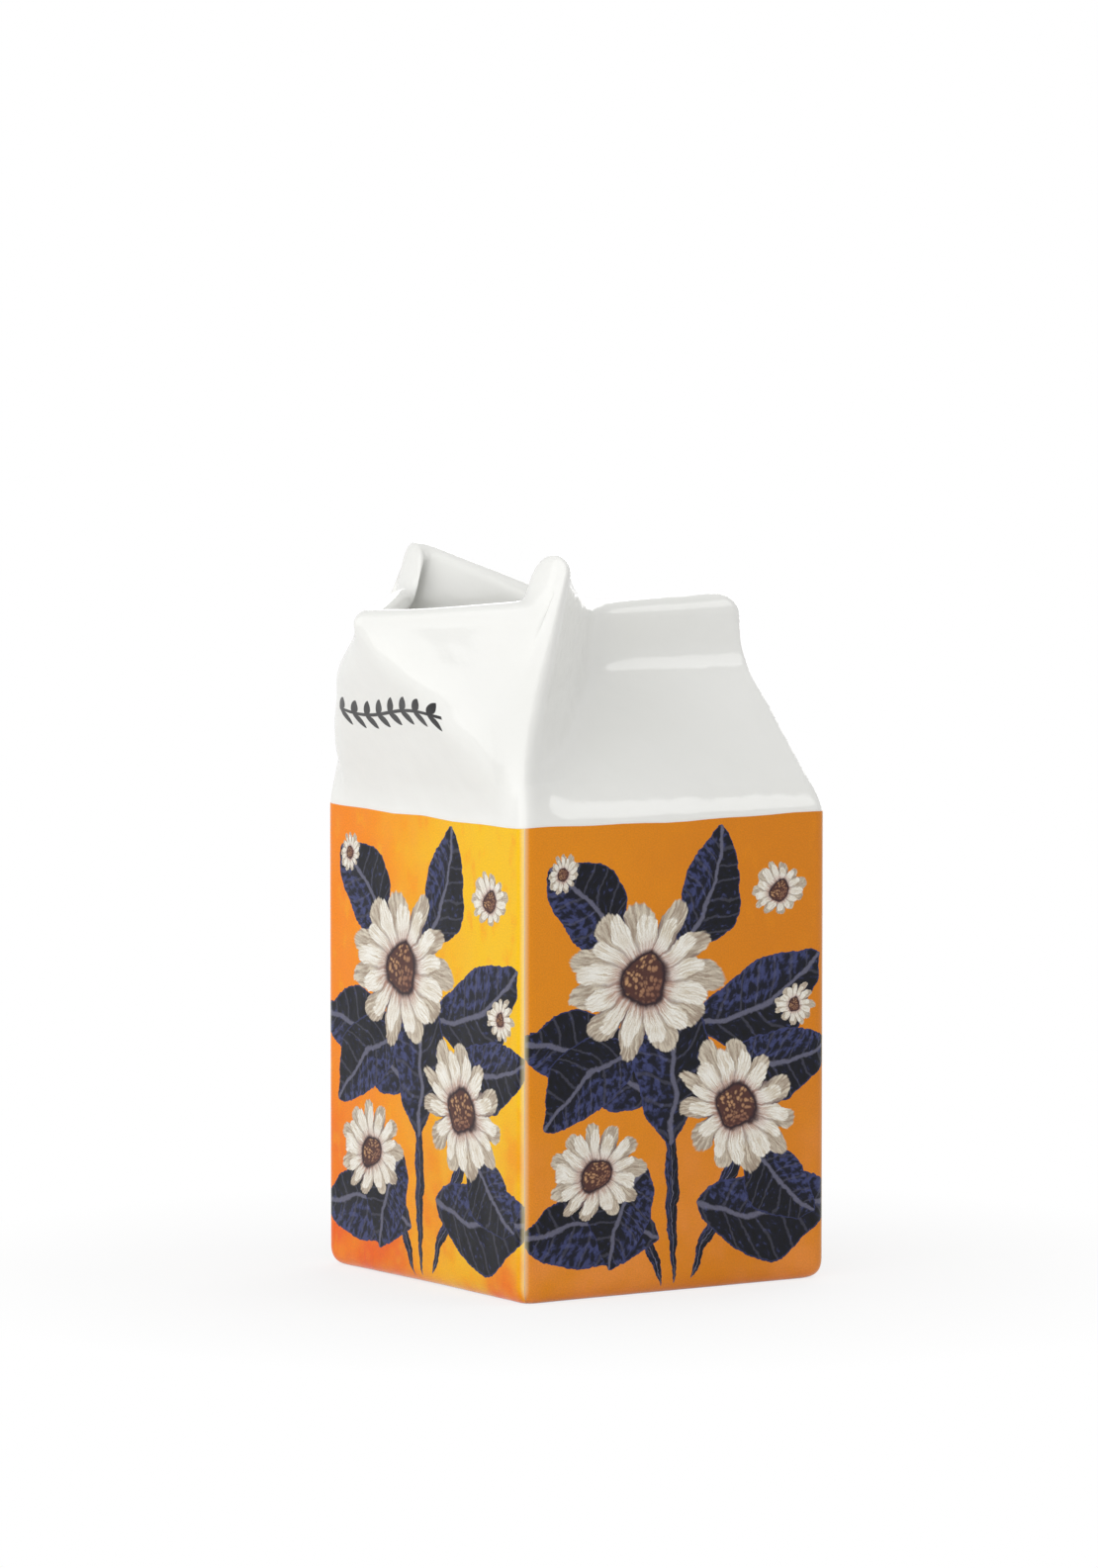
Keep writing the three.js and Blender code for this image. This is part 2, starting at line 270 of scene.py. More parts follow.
def lip_level(outwards, fin_side, drop, fin_z, rear):
    """The lines along the lip and the fin, a drop below the top of the lip."""
    tip, knuckle, ear, fin_start = lip_plan(outwards, fin_side)
    post, brow = with_post([tip, knuckle, ear], EAR_POST, EAR_BROW)[2:4]
    tip.z = knuckle.z = LIP_Z - drop
    post += TOWARDS_FOOT * EAR_FOOT
    post.z = LIP_Z + LIP_RISE - drop
    ear.z = EAR_Z - EAR_ROUND if drop > 0 else EAR_Z
    brow.z = ear.z - BROW_DROP
    fin_start.z = fin_z
    return [tip, knuckle, post, brow, ear, fin_start, *rear]


def outer_levels():
    """Outer levels, from the middle of the base up to the edge of the lip."""
    shoulder = square_level(WALL_REACH, SHOULDER_Z)
    fin_edge = RIDGE_Z - FIN_HALF
    fin_end = HALF + FIN_OVERHANG
    fin_rear = [point(FIN_HALF, fin_end, fin_edge), point(0, fin_end, FOLD_Z + LIP_HALF)]
    lip = lip_level(LIP_HALF, FIN_HALF, LIP_HALF, fin_edge, fin_rear)

    def front_at(z, half_width):
        tip = shoulder[0].lerp(lip[0], (z - SHOULDER_Z) / (lip[0].z - SHOULDER_Z))
        return [tip, point(half_width, tip.y, z)]

    bulge_ear = point(HALF - EAR_LEAN / 2, -HALF + EAR_LEAN, BULGE_Z)
    fold_ear = bulge_ear.lerp(lip[EAR_LINE], (FOLD_Z - BULGE_Z) / (lip[EAR_LINE].z - BULGE_Z))
    fold_rear = [
        point(FIN_HALF, lip[VALLEY_LINE].y, FOLD_Z),
        point(FIN_HALF, fin_end + FIN_HEEL, FOLD_Z),
        point(0, HALF - GABLE_TUCK, FOLD_Z - WALL),
    ]
    fold = add_post([*front_at(FOLD_Z, FOLD_HALF_WIDTH), fold_ear, *fold_rear])
    bulge_rear = [low.lerp(high, BULGE_SHARE) for low, high in zip(shoulder[VALLEY_LINE:], fold_rear)]
    bulge = add_post([*front_at(BULGE_Z, BULGE_HALF_WIDTH), bulge_ear, *bulge_rear])
    return [square_level(0, 0), square_level(WALL_REACH, 0), shoulder, bulge, fold, lip]


def crest_level():
    """Top of the lip and of the fin."""
    fin_end = HALF + FIN_OVERHANG
    rear = [point(0, fin_end - FIN_REAR_DROP, RIDGE_Z), point(0, fin_end, RIDGE_Z - FIN_REAR_DROP)]
    return lip_level(0, 0, 0, RIDGE_Z - CROTCH_DIP, rear)


def inner_levels(outer):
    """Inner levels, from the edge of the lip down to the middle of the floor."""
    *_, bulge, fold, _ = [without_post(level) for level in outer]
    front = WALL * FRONT_STRETCH
    roof = WALL * ROOF_STRETCH / ROOF_SLOPE
    neck = inset_chain(fold[:4], [front, front, WALL])
    neck[-1].z = INNER_RIDGE_Z
    ridge_end = HALF - GABLE_TUCK - WALL
    ridge_rear = [point(0, ridge_end - WALL, INNER_RIDGE_Z), point(0, ridge_end, INNER_RIDGE_Z - WALL)]
    belly = inset_chain(bulge, [front, front, WALL, roof, front])
    crotch = lip_plan(-LIP_HALF, 0)[-1]
    crotch.z = RIDGE_Z - CROTCH_DIP - LIP_HALF
    behind = [crotch + point(0, count * VALLEY_EASE, 0) for count in (1, 2)]
    lip = lip_level(-LIP_HALF, 0, LIP_HALF, crotch.z, behind)
    reach = HALF - WALL
    return [
        lip,
        add_post([*neck, *ridge_rear]),
        add_post(belly),
        square_level(reach, INNER_SHOULDER_Z),
        square_level(reach, FLOOR),
        square_level(0, FLOOR),
    ]


def fit_eases(keys, before, after):
    """Ease lengths [before, after] of each corner, shortened where a run is too short for both."""
    fitted = [[b, a] for b, a in zip(before, after)]
    for i, (start, end) in enumerate(zip(keys, keys[1:])):
        wanted = fitted[i][1] + fitted[i + 1][0]
        scale = min(1, EASE_FILL * (end - start).length / max(wanted, TINY))
        fitted[i][1] *= scale
        fitted[i + 1][0] *= scale
    return fitted


def corner_points(previous, key, following, ease, start, stop, steps):
    """Points on the quadratic curve that eases one corner."""
    a = key + (previous - key).normalized() * ease[0]
    c = key + (following - key).normalized() * ease[1]
    shares = [start + (stop - start) * step / steps for step in range(steps + 1)]
    return [a.lerp(key, t).lerp(key.lerp(c, t), t) for t in shares]


def section_row(keys):
    """One row across the half casting, with eased corners, from mirror plane to mirror plane."""
    last = len(keys) - 1
    eases = fit_eases(keys, LINE_EASE, LINE_EASE)
    eases[0][0] = eases[0][1]
    eases[last][1] = eases[last][0]
    padded = [mirrored(keys[1]), *keys, mirrored(keys[last - 1])]
    row = []
    for i, key in enumerate(keys):
        start = 0.5 if i == 0 else 0
        stop = 0.5 if i == last else 1
        corner = corner_points(padded[i], key, padded[i + 2], eases[i], start, stop, CORNER_STEPS[i])
        if row:
            steps = RUN_STEPS[i - 1]
            row += [row[-1].lerp(corner[0], step / steps) for step in range(1, steps)]
        row += corner
    return row


def rail_points(keys, before, after, arcs, runs):
    """One line up the casting through its level points, with eased corners and plain ends."""
    last = len(keys) - 1
    eases = fit_eases(keys, before, after)
    rail = [keys[0]]
    for i in range(1, last + 1):
        arc = [keys[last]]
        if i < last:
            arc = corner_points(keys[i - 1], keys[i], keys[i + 1], eases[i], 0, 1, max(arcs[i], 1))
        start = rail[-1]
        rail += [start.lerp(arc[0], step / runs[i - 1]) for step in range(1, runs[i - 1] + 1)]
        rail += arc[1:]
    return rail


def level_rows(levels, before, after, arcs, runs):
    """Rows of a surface through a list of levels."""
    rails = [rail_points(keys, before, after, arcs, runs) for keys in zip(*levels)]
    return [section_row(keys) for keys in zip(*rails)]


def quarter_rows(start_row, end_row, crest_is_end, steps):
    """Rows of a quarter round between two rows, standing upright at one of them and level at the crest."""
    roundness = 0.5523
    curves = []
    for start, end in zip(start_row, end_row):
        side, top = (start, end) if crest_is_end else (end, start)
        corner = point(side.x, side.y, top.z)
        curves.append((start, start.lerp(corner, roundness), end.lerp(corner, roundness), end))
    return [[cubic_point(*curve, step / steps) for curve in curves] for step in range(1, steps + 1)]


def cubic_point(a, b, c, d, t):
    ab, bc, cd = a.lerp(b, t), b.lerp(c, t), c.lerp(d, t)
    return ab.lerp(bc, t).lerp(bc.lerp(cd, t), t)


def casting_sheets():
    """The right half of the casting in sheets: outside, over the lip, into it, neck and inside."""
    levels = outer_levels()
    below = (0, BASE_EASE, SHOULDER_EASE_BELOW, PANEL_EASE, FOLD_EASE, 0)
    above = (0, BASE_EASE, SHOULDER_EASE_ABOVE, PANEL_EASE, FOLD_EASE, 0)
    outer = level_rows(levels, below, above, OUTER_ARCS, OUTER_RUNS)
    over_lip = quarter_rows(outer[-1], section_row(crest_level()), True, LIP_STEPS)
    open_columns = sum(CORNER_STEPS[: VALLEY_LINE + 1]) + sum(RUN_STEPS[:VALLEY_LINE]) + 1
    crest = over_lip[-1][:open_columns]
    inside_levels = inner_levels(levels)
    inner_lip = section_row(inside_levels[0])[:open_columns]
    into_lip = quarter_rows(crest, inner_lip, False, LIP_STEPS)
    plain = (0, 0)
    neck = level_rows(inside_levels[:2], plain, plain, plain, NECK_RUNS)
    neck = [row[:open_columns] for row in neck]
    ease = (0, PANEL_EASE, PANEL_EASE, FLOOR_EASE, 0)
    inside = level_rows(inside_levels[1:], ease, ease, INNER_ARCS, INNER_RUNS)
    return [outer, [outer[-1], *over_lip], [crest, *into_lip], neck, inside]


def merged_mesh(name, quads):
    """A mesh in metres from quads in millimetres; corners at the same micrometre are one vertex."""
    places = {}
    faces = []
    for quad in quads:
        corners = [places.setdefault(tuple(round(c, 3) + 0.0 for c in p), len(places)) for p in quad]
        distinct = list(dict.fromkeys(corners))
        if len(distinct) > 2:
            faces.append(distinct)
    mesh = bpy.data.meshes.new(name)
    mesh.from_pydata([Vector(place) * MM for place in places], [], faces)
    mesh.shade_smooth()
    return mesh


def sheet_quads(rows):
    """The quads between the rows of a sheet."""
    return [
        (rows[r][c], rows[r][c + 1], rows[r + 1][c + 1], rows[r + 1][c])
        for r in range(len(rows) - 1)
        for c in range(len(rows[r]) - 1)
    ]


def add_piece(mesh, node, material):
    """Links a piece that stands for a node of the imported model."""
    piece = bpy.data.objects.new(mesh.name, mesh)
    bpy.context.scene.collection.objects.link(piece)
    mesh.materials.append(material)
    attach(piece, "root")
    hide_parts(node)


def waver(place):
    """How far the casting stands proud of its form at a place, in millimetres."""
    share = (place.z - WAVER_FROM_Z) / (WAVER_FULL_Z - WAVER_FROM_Z)
    depth = WAVER * noise.noise(place / WAVER_LENGTH) - WAVER_SINK
    return depth * min(max(share, 0), 1)


def casting_mesh():
    """Both halves of the casting as one closed skin, a little uneven above the print."""
    quads = [quad for sheet in casting_sheets() for quad in sheet_quads(sheet)]
    right = [quad for quad in quads if any(abs(p.x) > TINY for p in quad)]
    left = [tuple(mirrored(p) for p in reversed(quad)) for quad in right]
    mesh = merged_mesh("glazed_casting", right + left)
    normals = [vertex.normal.copy() for vertex in mesh.vertices]
    for vertex, normal in zip(mesh.vertices, normals):
        vertex.co += normal * waver(vertex.co / MM) * MM
    return mesh


def linear(red, green, blue):
    """A colour given as it looks on a screen, 0 to 255, as the linear value that a shader takes."""
    shares = (red / 255, green / 255, blue / 255)
    return (*(s / 12.92 if s <= 0.04045 else ((s + 0.055) / 1.055) ** 2.4 for s in shares), 1.0)


# Colours of the glaze.
GLAZE_DIM = linear(236, 236, 231)
GLAZE = linear(242, 242, 239)
SPECK = linear(186, 178, 164)
BARE_CLAY = linear(226, 216, 198)
INK_DARK = linear(4, 4, 5)
INK_THIN = linear(30, 28, 30)

# Colours of the print.
LEAF_DARK = linear(3, 4, 8)
LEAF_LIGHT = linear(20, 24, 56)
LEAF_STROKE = linear(78, 86, 140)
LEAF_RIB = linear(140, 140, 166)
LEAF_RIM = linear(58, 64, 112)
BACK_PETAL_DIM = linear(168, 150, 132)
BACK_PETAL = linear(228, 218, 198)
BACK_PETAL_GAP = linear(112, 92, 92)
PETAL_DIM = linear(214, 200, 176)
PETAL = linear(252, 249, 240)
PETAL_GAP = linear(150, 128, 116)
PETAL_ROOT = linear(172, 112, 98)
SEED_RING = linear(52, 34, 40)
SEED_DARK = linear(120, 72, 66)
SEED_LIGHT = linear(214, 166, 118)
SEED_GAP = linear(86, 52, 46)
# A pale colour painted along the upright edges as the highlight on their rounding.
EDGE_HIGHLIGHT_PAINT = linear(250, 236, 190)
GRAIN_DIM = (0.86, 0.86, 0.86, 1)

# Ground colours of each wall: at its left, at its right and of the mottling near its foot.
GROUNDS = {
    "front": (linear(254, 141, 2), linear(255, 200, 4), linear(244, 78, 4)),
    "right": (linear(238, 145, 12), linear(227, 134, 12), linear(248, 152, 66)),
    "back": (linear(236, 134, 18), linear(236, 166, 20), linear(220, 96, 20)),
    "left": (linear(228, 140, 22), linear(226, 128, 18), linear(228, 132, 58)),
}

# Heights where the glaze starts to thin at the foot, where the clay is bare, and where the mottling
# of the ground starts and is full.
WIPED_FROM_Z = 0.35
BARE_Z = 0.1
MOTTLED_FROM_Z = 52.0
MOTTLED_FULL_Z = 4.0

# Painted highlight on the print along the upright edges, where their rounding would catch the light:
# distances from the edges where it starts and is full, and its share.
EDGE_HIGHLIGHT_FROM = 1.6
EDGE_HIGHLIGHT_FULL = 0.5
EDGE_HIGHLIGHT_SHARE = 0.45

# Gloss of the print, and the petals in the two rings of a daisy.
PRINT_SPECULAR = 0.2
BACK_PETAL_COUNT = 11
PETAL_COUNT = 13

# Wavers of the brush: noise for each millimetre, its detail and its reach in millimetres.
BRUSH_WAVERS = ((0.11, 1.0, 4.5), (0.9, 2.0, 0.8))

# The painted design of one wall, in millimetres from the middle of its lower edge.
# Leaves: where each starts, its direction in degrees, then its length and half width.
LEAVES = (
    ((-1, 2), 92, (40, 1.6)),
    ((3, 2), 66, (42, 1.6)),
    ((-3, 2), 118, (32, 1.5)),
    ((-6, 40), 158, (33, 8.5)),
    ((4, 50), 24, (34, 8.5)),
    ((4, 16), -2, (34, 9)),
    ((-4, 12), 176, (33, 8)),
    ((2, 66), 68, (26, 7)),
    ((-12, 66), 132, (27, 7.5)),
    ((16, 30), -48, (24, 6.5)),
    ((-10, 50), 214, (27, 7)),
    ((12, 44), 4, (25, 7)),
    ((0, 30), 100, (34, 9.5)),
    ((-8, 26), 246, (22, 6.5)),
)
# Daisies: the middle of each, its turn in degrees and its radii.
DAISIES = (
    ((24, 78), 30, (6.5, 6)),
    ((-27, 84), 75, (4.6, 4.2)),
    ((28, 55), 10, (5, 4.5)),
    ((-19, 25), 20, (12.5, 11)),
    ((14, 36), -25, (16, 14)),
    ((-8, 62), 15, (19.5, 17.5)),
)


class Graph:
    """Adds shader nodes to a tree; any input may be a plain value or the output of another node."""

    def __init__(self, tree):
        self.tree = tree

    def feed(self, socket, value):
        if isinstance(value, bpy.types.NodeSocket):
            self.tree.links.new(value, socket)
        else:
            socket.default_value = value

    def fed(self, kind, values, **settings):
        """The outputs of a new node, with its settings and with values in its inputs."""
        node = self.tree.nodes.new(kind)
        for name, setting in settings.items():
            setattr(node, name, setting)
        for socket, value in values.items():
            self.feed(node.inputs[socket], value)
        return node.outputs

    def math(self, operation, *values):
        return self.fed("ShaderNodeMath", dict(enumerate(values)), operation=operation)[0]

    def vector(self, operation, *values):
        outputs = self.fed("ShaderNodeVectorMath", dict(enumerate(values)), operation=operation)
        return outputs["Value" if operation == "LENGTH" else "Vector"]

    def scaled(self, vector, *factors):
        return self.vector("MULTIPLY", vector, factors)

    def parts(self, vector):
        return self.fed("ShaderNodeSeparateXYZ", {0: vector})

    def joined(self, x, y, z=0.0):
        return self.fed("ShaderNodeCombineXYZ", {0: x, 1: y, 2: z})[0]

    def object_place(self):
        """Where a point lies in the frame of the jug, in metres."""
        return self.fed("ShaderNodeTexCoord", {})["Object"]

    def step(self, value, low, high):
        """0 below low, 1 above high and smooth between them; high may lie below low."""
        values = {"Value": value, "From Min": low, "From Max": high}
        return self.fed("ShaderNodeMapRange", values, interpolation_type="SMOOTHSTEP")[0]

    def noise(self, place, scale, detail, output="Fac"):
        return self.fed("ShaderNodeTexNoise", {"Vector": place, "Scale": scale, "Detail": detail})[output]

    def uneven(self, place, scale, low, spread):
        """A value that drifts between low and low plus spread."""
        return self.math("MULTIPLY_ADD", self.noise(place, scale, 3.0), spread, low)

    def cells(self, place, scale):
        """Distance from the nearest of many scattered points."""
        return self.fed("ShaderNodeTexVoronoi", {"Vector": place, "Scale": scale})["Distance"]

    def chance(self, number):
        """A random share, always the same one for the same number."""
        return self.fed("ShaderNodeTexWhiteNoise", {"W": number}, noise_dimensions="1D")["Value"]

    def relief(self, height, depth):
        """A normal that is tilted as if the surface rose by a depth in metres where height is 1."""
        return self.fed("ShaderNodeBump", {"Height": height, "Distance": depth, "Strength": 1.0})[0]

    def mix(self, share, a, b, blend="MIX"):
        """A colour; inputs 6 and 7 and output 2 are the ones for colours."""
        values = {0: share, 6: a, 7: b}
        return self.fed("ShaderNodeMix", values, data_type="RGBA", blend_type=blend)[2]

    def choose(self, second, a, b):
        """The first place where second is 0, else the second; 4, 5 and output 1 are for places."""
        return self.fed("ShaderNodeMix", {0: second, 4: a, 5: b}, data_type="VECTOR")[1]

    def placed(self, vector, location, angle, scale):
        """Coordinates about a location, turned by an angle and measured in units of scale."""
        values = {"Vector": vector, "Location": (*location, 0), "Scale": (*scale, 1)}
        values["Rotation"] = (0, 0, angle)
        return self.fed("ShaderNodeMapping", values, vector_type="TEXTURE")[0]


def leaf_span(g, place):
    """Along and across a bent leaf from (0, 0) to (1, 0), and how far inside its edge a place lies."""
    x, y, _ = g.parts(place)
    # The arch is 0 at both ends and 1 in the middle.
    arch = g.math("MULTIPLY", g.math("MULTIPLY", x, g.math("SUBTRACT", 1.0, x)), 4.0)
    arch = g.math("MAXIMUM", arch, 0.0)
    across = g.math("MULTIPLY_ADD", arch, 0.35, g.math("SUBTRACT", y, 0.18))
    edge = g.math("SUBTRACT", g.math("POWER", arch, 0.8), g.math("ABSOLUTE", across))
    return x, across, edge


def in_leaf(g, place):
    return g.math("GREATER_THAN", leaf_span(g, place)[2], 0.0)


def draw_leaf(g, place):
    """Mask and colour of a brushed leaf, dark with a lighter side, strokes, veins and a midrib."""
    x, across, edge = leaf_span(g, place)
    aside = g.math("ABSOLUTE", across)
    slant = g.math("MULTIPLY_ADD", aside, -1.2, g.math("MULTIPLY", x, 9.0))
    brush = g.noise(g.joined(slant, g.math("MULTIPLY", across, 2.2)), 2.6, 3.0)
    light_side = g.step(across, -0.1, 0.5)
    tone = g.math("MULTIPLY_ADD", brush, 1.3, g.math("MULTIPLY_ADD", light_side, 0.35, -0.45))
    colour = g.mix(tone, LEAF_DARK, LEAF_LIGHT)
    strokes = g.step(g.math("MULTIPLY_ADD", light_side, 0.16, brush), 0.58, 0.78)
    colour = g.mix(g.math("MULTIPLY", strokes, 0.6), colour, LEAF_STROKE)
    waves = g.math("SINE", g.math("MULTIPLY", g.math("MULTIPLY_ADD", aside, -0.16, x), 46.0))
    veins = g.math("MULTIPLY", g.step(waves, 0.8, 1.0), 0.3)
    rib = g.math("MAXIMUM", veins, g.step(aside, 0.09, 0.03))
    colour = g.mix(g.math("MULTIPLY", rib, 0.5), colour, LEAF_RIB)
    rim = g.step(edge, 0.06, 0.03)
    return in_leaf(g, place), g.mix(g.math("MULTIPLY", rim, 0.6), colour, LEAF_RIM)


def in_daisy(g, place):
    """1 up to a little beyond the longest petals, else 0."""
    return g.math("LESS_THAN", g.vector("LENGTH", place), 1.05)


def petal_ring(g, radius, turn, petals, reach):
    """Mask, distance from the petal's own middle and streaks of one ring of petals."""
    # The start keeps the count above 0 and sets rings of unlike petals askew.
    count = g.math("MULTIPLY_ADD", turn, petals / (2 * math.pi), 40.0 + 0.37 * petals)
    index = g.math("FLOOR", count)
    aside = g.math("ABSOLUTE", g.math("SUBTRACT", g.math("FRACT", count), 0.5))
    length = g.math("MULTIPLY_ADD", g.chance(index), 0.14, reach - 0.14)
    notch = g.math("MULTIPLY", g.math("POWER", g.math("MULTIPLY", aside, 2.0), 2.6), 0.34)
    edge = g.math("SUBTRACT", g.math("SUBTRACT", length, notch), radius)
    round_petal = g.math("MULTIPLY_ADD", index, 3.7, g.math("MULTIPLY", aside, 7.0))
    streaks = g.noise(g.joined(round_petal, g.math("MULTIPLY", radius, 2.2)), 1.9, 3.0)
    mask = g.step(g.math("MULTIPLY_ADD", g.math("SUBTRACT", streaks, 0.5), 0.07, edge), 0.0, 0.035)
    return mask, aside, streaks


def back_petals(g, radius, turn):
    """Mask and colour of the longer petals behind."""
    mask, aside, streaks = petal_ring(g, radius, turn, BACK_PETAL_COUNT, 1.0)
    colour = g.mix(g.step(streaks, 0.35, 0.7), BACK_PETAL_DIM, BACK_PETAL)
    return mask, g.mix(g.step(aside, 0.3, 0.5), colour, BACK_PETAL_GAP)


def front_petals(g, radius, turn):
    """Mask and colour of the shorter petals in front, tinted near their roots."""
    mask, aside, streaks = petal_ring(g, radius, turn, PETAL_COUNT, 0.86)
    colour = g.mix(g.step(streaks, 0.3, 0.62), PETAL_DIM, PETAL)
    gap = g.math("MULTIPLY", g.step(aside, 0.34, 0.5), 0.75)
    colour = g.mix(gap, colour, PETAL_GAP)
    root = g.step(g.math("MULTIPLY_ADD", streaks, 0.25, radius), 0.62, 0.36)
    return mask, g.mix(g.math("MULTIPLY", root, 0.8), colour, PETAL_ROOT)


def draw_daisy(g, place):
    """Mask and colour of a daisy of radius 1: two rings of cream petals round a tan middle."""
    x, y, _ = g.parts(place)
    radius = g.vector("LENGTH", place)
    turn = g.math("ARCTAN2", y, x)
    back, back_colour = back_petals(g, radius, turn)
    front, front_colour = front_petals(g, radius, turn)
    colour = g.mix(front, back_colour, front_colour)
    colour = g.mix(g.step(radius, 0.36, 0.29), colour, SEED_RING)
    colour = g.mix(g.step(radius, 0.29, 0.25), colour, seed_colour(g, place, x, y))
    return g.math("MAXIMUM", back, front), colour


def seed_colour(g, place, x, y):
    """The stippled middle of a daisy, lighter towards its upper left."""
    lit = g.math("MULTIPLY_ADD", y, 1.4, g.math("MULTIPLY_ADD", x, -0.9, 0.55))
    middle = g.mix(lit, SEED_DARK, SEED_LIGHT)
    return g.mix(g.step(g.cells(place, 17.0), 0.25, 0.6), middle, SEED_GAP)


def painted(g, under, place, motifs, inside, draw):
    """Motifs laid over what is painted under them; where they overlap, the last one is on top."""
    outside_all = (9.0, 9.0, 0.0)
    own_place = outside_all
    for location, degrees, scale in motifs:
        motif_place = g.placed(place, location, math.radians(degrees), scale)
        own_place = g.choose(inside(g, motif_place), own_place, motif_place)
    mask, colour = draw(g, own_place)
    return g.mix(mask, under, colour)


def ground_colour(g, place, side):
    """The painted ground: a drift from left to right, soft mottling and brushed dabs."""
    left, right, foot = GROUNDS[side]
    x, z, _ = g.parts(place)
    clouds = g.noise(place, 0.055, 4.0)
    drift = g.step(g.math("MULTIPLY_ADD", clouds, 34.0, x), -14.0, 40.0)
    colour = g.mix(drift, left, right)
    low = g.math("MULTIPLY", g.step(z, MOTTLED_FROM_Z, MOTTLED_FULL_Z), g.step(clouds, 0.36, 0.66))
    colour = g.mix(g.math("MULTIPLY", low, 0.8), colour, foot)
    dabs = g.noise(g.scaled(place, 0.30, 0.17, 1.0), 1.0, 3.0)
    colour = g.mix(g.math("MULTIPLY", g.step(dabs, 0.5, 0.8), 0.5), colour, left)
    return g.mix(g.math("MULTIPLY", g.step(dabs, 0.46, 0.2), 0.35), colour, right)


def pooled_glaze(g, place):
    """The normal of the glaze, which lies in broad pools with a fine orange peel on them."""
    pools = g.noise(place, 0.12, 1.0)
    height = g.math("MULTIPLY_ADD", g.noise(place, 0.9, 1.0), 0.06, pools)
    return g.relief(height, POOL_DEPTH * MM)


def wall_place(g, turns):
    """Millimetres across a wall from its middle and up from the base, with the wall turned to the front."""
    turned = {"Vector": g.object_place(), "Rotation": (0, 0, -turns * math.pi / 2)}
    wall = g.fed("ShaderNodeMapping", turned, vector_type="POINT")[0]
    x, _, z = g.parts(g.scaled(wall, 1 / MM, 1 / MM, 1 / MM))
    return g.joined(x, z)


def hand_drawn(g, place):
    """Places that waver a little, so that what is drawn on them looks brushed by hand."""
    drawn = place
    for scale, detail, reach in BRUSH_WAVERS:
        drift = g.vector("SUBTRACT", g.noise(place, scale, detail, "Color"), (0.5, 0.5, 0.5))
        drawn = g.vector("ADD", drawn, g.scaled(drift, reach, reach, 0))
    return drawn


def glossy(name):
    """A new material, the graph of its nodes and the inputs of its shader."""
    material = bpy.data.materials.new(name)
    material.use_nodes = True
    tree = material.node_tree
    return material, Graph(tree), tree.nodes["Principled BSDF"].inputs


def print_material(side, turns):
    """The glossy transfer of one wall: leaves and daisies painted on a warm ground."""
    material, g, shader = glossy(f"printed_glaze_{side}")
    place = wall_place(g, turns)
    drawn = hand_drawn(g, place)
    colour = ground_colour(g, place, side)
    colour = painted(g, colour, drawn, LEAVES, in_leaf, draw_leaf)
    colour = painted(g, colour, drawn, DAISIES, in_daisy, draw_daisy)
    grain = g.step(g.noise(place, 3.2, 2.0), 0.3, 0.75)
    colour = g.mix(grain, g.mix(1.0, colour, GRAIN_DIM, "MULTIPLY"), colour)
    aside = g.math("ABSOLUTE", g.parts(place)[0])
    # A pale band painted along the upright edges stands in for the highlight on their rounding.
    painted_highlight = g.math("MULTIPLY", g.step(aside, WALL_REACH - EDGE_HIGHLIGHT_FROM, WALL_REACH - EDGE_HIGHLIGHT_FULL), EDGE_HIGHLIGHT_SHARE)
    g.feed(shader["Base Color"], g.mix(painted_highlight, colour, EDGE_HIGHLIGHT_PAINT))
    g.feed(shader["Roughness"], g.uneven(place, 0.2, 0.07, 0.08))
    g.feed(shader["Specular IOR Level"], PRINT_SPECULAR)
    g.feed(shader["Normal"], pooled_glaze(g, place))
    return material


def sprig_mask(g, place):
    """A brushed sprig across the front panel: a waving stem with a pair of leaves at each step."""
    x, _, z = g.parts(place)
    wave = g.math("MULTIPLY", g.math("SINE", g.math("MULTIPLY", x, SPRIG_TURN)), SPRIG_WAVE)
    rise = g.math("ABSOLUTE", g.math("SUBTRACT", g.math("SUBTRACT", z, SPRIG_Z), wave))
    stem = g.step(rise, SPRIG_STEM + SPRIG_SOFT, SPRIG_STEM - SPRIG_SOFT)
    step = g.math("MULTIPLY", g.math("FRACT", g.math("DIVIDE", x, SPRIG_STEP)), SPRIG_STEP)
    leaf_place = g.placed(g.joined(step, rise), SPRIG_LEAF_ROOT, SPRIG_LEAF_ANGLE, SPRIG_LEAF)
    leaf = g.step(leaf_span(g, leaf_place)[2], 0.0, 0.12)
    ends = g.step(g.math("ABSOLUTE", x), SPRIG_HALF, SPRIG_HALF - SPRIG_FADE)
    drawn = g.math("MULTIPLY", g.math("MAXIMUM", stem, leaf), ends)
    # Only what faces the front is painted, so that the inside of the mouth stays white.
    facing = g.parts(g.fed("ShaderNodeNewGeometry", {})["Normal"])[1]
    return g.math("MULTIPLY", drawn, g.step(facing, -0.2, -0.4))


def glaze_material():
    """White glaze: glossy, a little uneven, specked, and wiped off the underside of the base."""
    material, g, shader = glossy("white_glaze")
    place = g.scaled(g.object_place(), 1 / MM, 1 / MM, 1 / MM)
    colour = g.mix(g.noise(place, 0.04, 3.0), GLAZE_DIM, GLAZE)
    colour = g.mix(g.step(g.cells(place, 0.07), 0.022, 0.01), colour, SPECK)
    bare = g.step(g.parts(place)[2], WIPED_FROM_Z, BARE_Z)
    colour = g.mix(bare, colour, BARE_CLAY)
    ink = g.mix(g.noise(place, 1.1, 2.0), INK_DARK, INK_THIN)
    g.feed(shader["Base Color"], g.mix(sprig_mask(g, place), colour, ink))
    g.feed(shader["Roughness"], g.math("MULTIPLY_ADD", bare, 0.6, g.uneven(place, 0.15, 0.06, 0.08)))
    g.feed(shader["Normal"], pooled_glaze(g, place))
    return material


